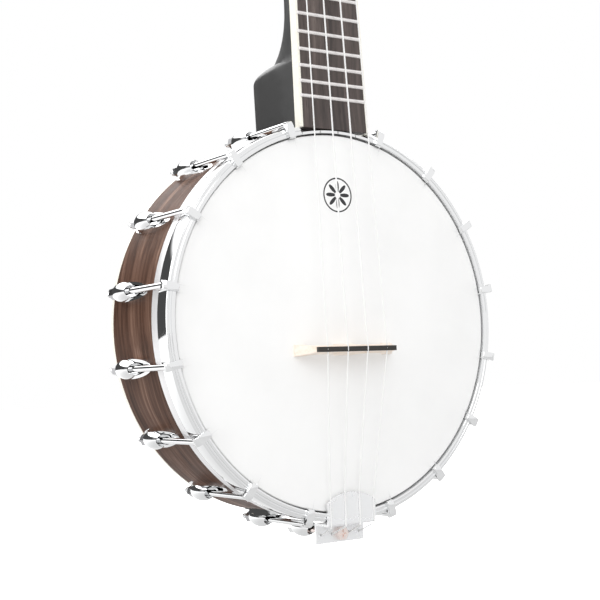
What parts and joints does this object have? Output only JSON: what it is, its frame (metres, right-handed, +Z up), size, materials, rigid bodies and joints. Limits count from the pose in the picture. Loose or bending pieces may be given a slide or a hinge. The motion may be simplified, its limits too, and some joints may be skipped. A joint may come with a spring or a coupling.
{
  "type": "banjo ukulele",
  "caption": "Open-backed banjo ukulele: round wooden pot with a white film head, chrome hoop, hooks and shoes, black neck, bound fretboard, bridge, tailpiece and geared tuners.",
  "frame": {"origin": "middle of the nut on the plane of the fretboard top, where a wall hanger takes the neck under the headstock", "axes": "+Z up along the neck towards the headstock, -Y out of the drumhead towards the player's audience, +X to the right seen from the front"},
  "size_m": [0.2172, 0.0766, 0.5919],
  "materials": {
    "rim_wood": "satin walnut",
    "binding": "polished ivoroid",
    "tone_ring": "polished",
    "drumhead": "coated film",
    "flesh_hoop": "brushed",
    "chrome": "mirror plated",
    "tailpiece": "plated sheet, softly polished",
    "screws": "zinc plated",
    "neck": "black satin lacquer",
    "fretboard": "oiled rosewood",
    "frets": "polished nickel silver",
    "dots": "pearl",
    "bridge": "bare maple",
    "ebony": "polished ebony",
    "string": "nylon",
    "gear": "machined",
    "button": "pearl white"
  },
  "bodies": {
    "banjo": {"bracket_hooks": "chrome", "bracket_shoes": "chrome", "bridge": "bridge", "bridge_cap": "ebony", "coordinator_rod": "screws", "drumhead": "drumhead", "drumhead_collar": "drumhead", "flesh_hoop": "flesh_hoop", "fretboard": "fretboard", "fretboard_binding": "binding", "frets": "frets", "headstock_veneer": "fretboard", "heel_bolt": "screws", "hook_nuts": "chrome", "neck": "neck", "position_dots": "dots", "rim": "rim_wood", "rim_back_binding": "binding", "rod_nuts": "screws", "shoe_screws": "screws", "shoe_washers": "screws", "string_1": "string", "string_2": "string", "string_3": "string", "string_4": "string", "string_nut": "binding", "tail_bracket": "chrome", "tail_screw": "screws", "tailpiece": "tailpiece", "tailpiece_bolt": "chrome", "tailpiece_nut": "chrome", "tension_hoop": "chrome", "tone_ring": "tone_ring", "tuner_bushings": "chrome", "tuner_covers": "chrome", "tuner_plates": "chrome", "tuner_screws": "screws"},
    "winder_1": {"tuner_post_1": "chrome", "tuner_gear_1": "gear", "string_winding_1": "string"},
    "key_1": {"tuner_shaft_1": "chrome", "tuner_button_1": "button"},
    "winder_2": {"tuner_post_2": "chrome", "tuner_gear_2": "gear", "string_winding_2": "string"},
    "key_2": {"tuner_shaft_2": "chrome", "tuner_button_2": "button"},
    "winder_3": {"tuner_post_3": "chrome", "tuner_gear_3": "gear", "string_winding_3": "string"},
    "key_3": {"tuner_shaft_3": "chrome", "tuner_button_3": "button"},
    "winder_4": {"tuner_post_4": "chrome", "tuner_gear_4": "gear", "string_winding_4": "string"},
    "key_4": {"tuner_shaft_4": "chrome", "tuner_button_4": "button"}
  },
  "joints": [
    {"name": "key_1_turn", "type": "hinge", "parent": "banjo", "child": "key_1", "pos_m": [-0.019, 0.02956, 0.04665], "axis": [-1, 0, 0], "continuous": true},
    {"name": "post_1_turn", "type": "hinge", "parent": "banjo", "child": "winder_1", "pos_m": [-0.019, 0.01189, 0.04461], "axis": [0, -0.9681, 0.2504], "continuous": true},
    {"name": "key_2_turn", "type": "hinge", "parent": "banjo", "child": "key_2", "pos_m": [-0.019, 0.03958, 0.08537], "axis": [-1, 0, 0], "continuous": true},
    {"name": "post_2_turn", "type": "hinge", "parent": "banjo", "child": "winder_2", "pos_m": [-0.019, 0.0219, 0.08333], "axis": [0, -0.9681, 0.2504], "continuous": true},
    {"name": "key_3_turn", "type": "hinge", "parent": "banjo", "child": "key_3", "pos_m": [0.019, 0.03958, 0.08537], "axis": [1, 0, 0], "continuous": true},
    {"name": "post_3_turn", "type": "hinge", "parent": "banjo", "child": "winder_3", "pos_m": [0.019, 0.0219, 0.08333], "axis": [0, -0.9681, 0.2504], "continuous": true},
    {"name": "key_4_turn", "type": "hinge", "parent": "banjo", "child": "key_4", "pos_m": [0.019, 0.02956, 0.04665], "axis": [1, 0, 0], "continuous": true},
    {"name": "post_4_turn", "type": "hinge", "parent": "banjo", "child": "winder_4", "pos_m": [0.019, 0.01189, 0.04461], "axis": [0, -0.9681, 0.2504], "continuous": true}
  ],
  "couplings": [
    {"joint": "post_1_turn", "follows": "key_1_turn", "ratio": -0.071429},
    {"joint": "post_2_turn", "follows": "key_2_turn", "ratio": -0.071429},
    {"joint": "post_3_turn", "follows": "key_3_turn", "ratio": 0.071429},
    {"joint": "post_4_turn", "follows": "key_4_turn", "ratio": 0.071429}
  ]
}
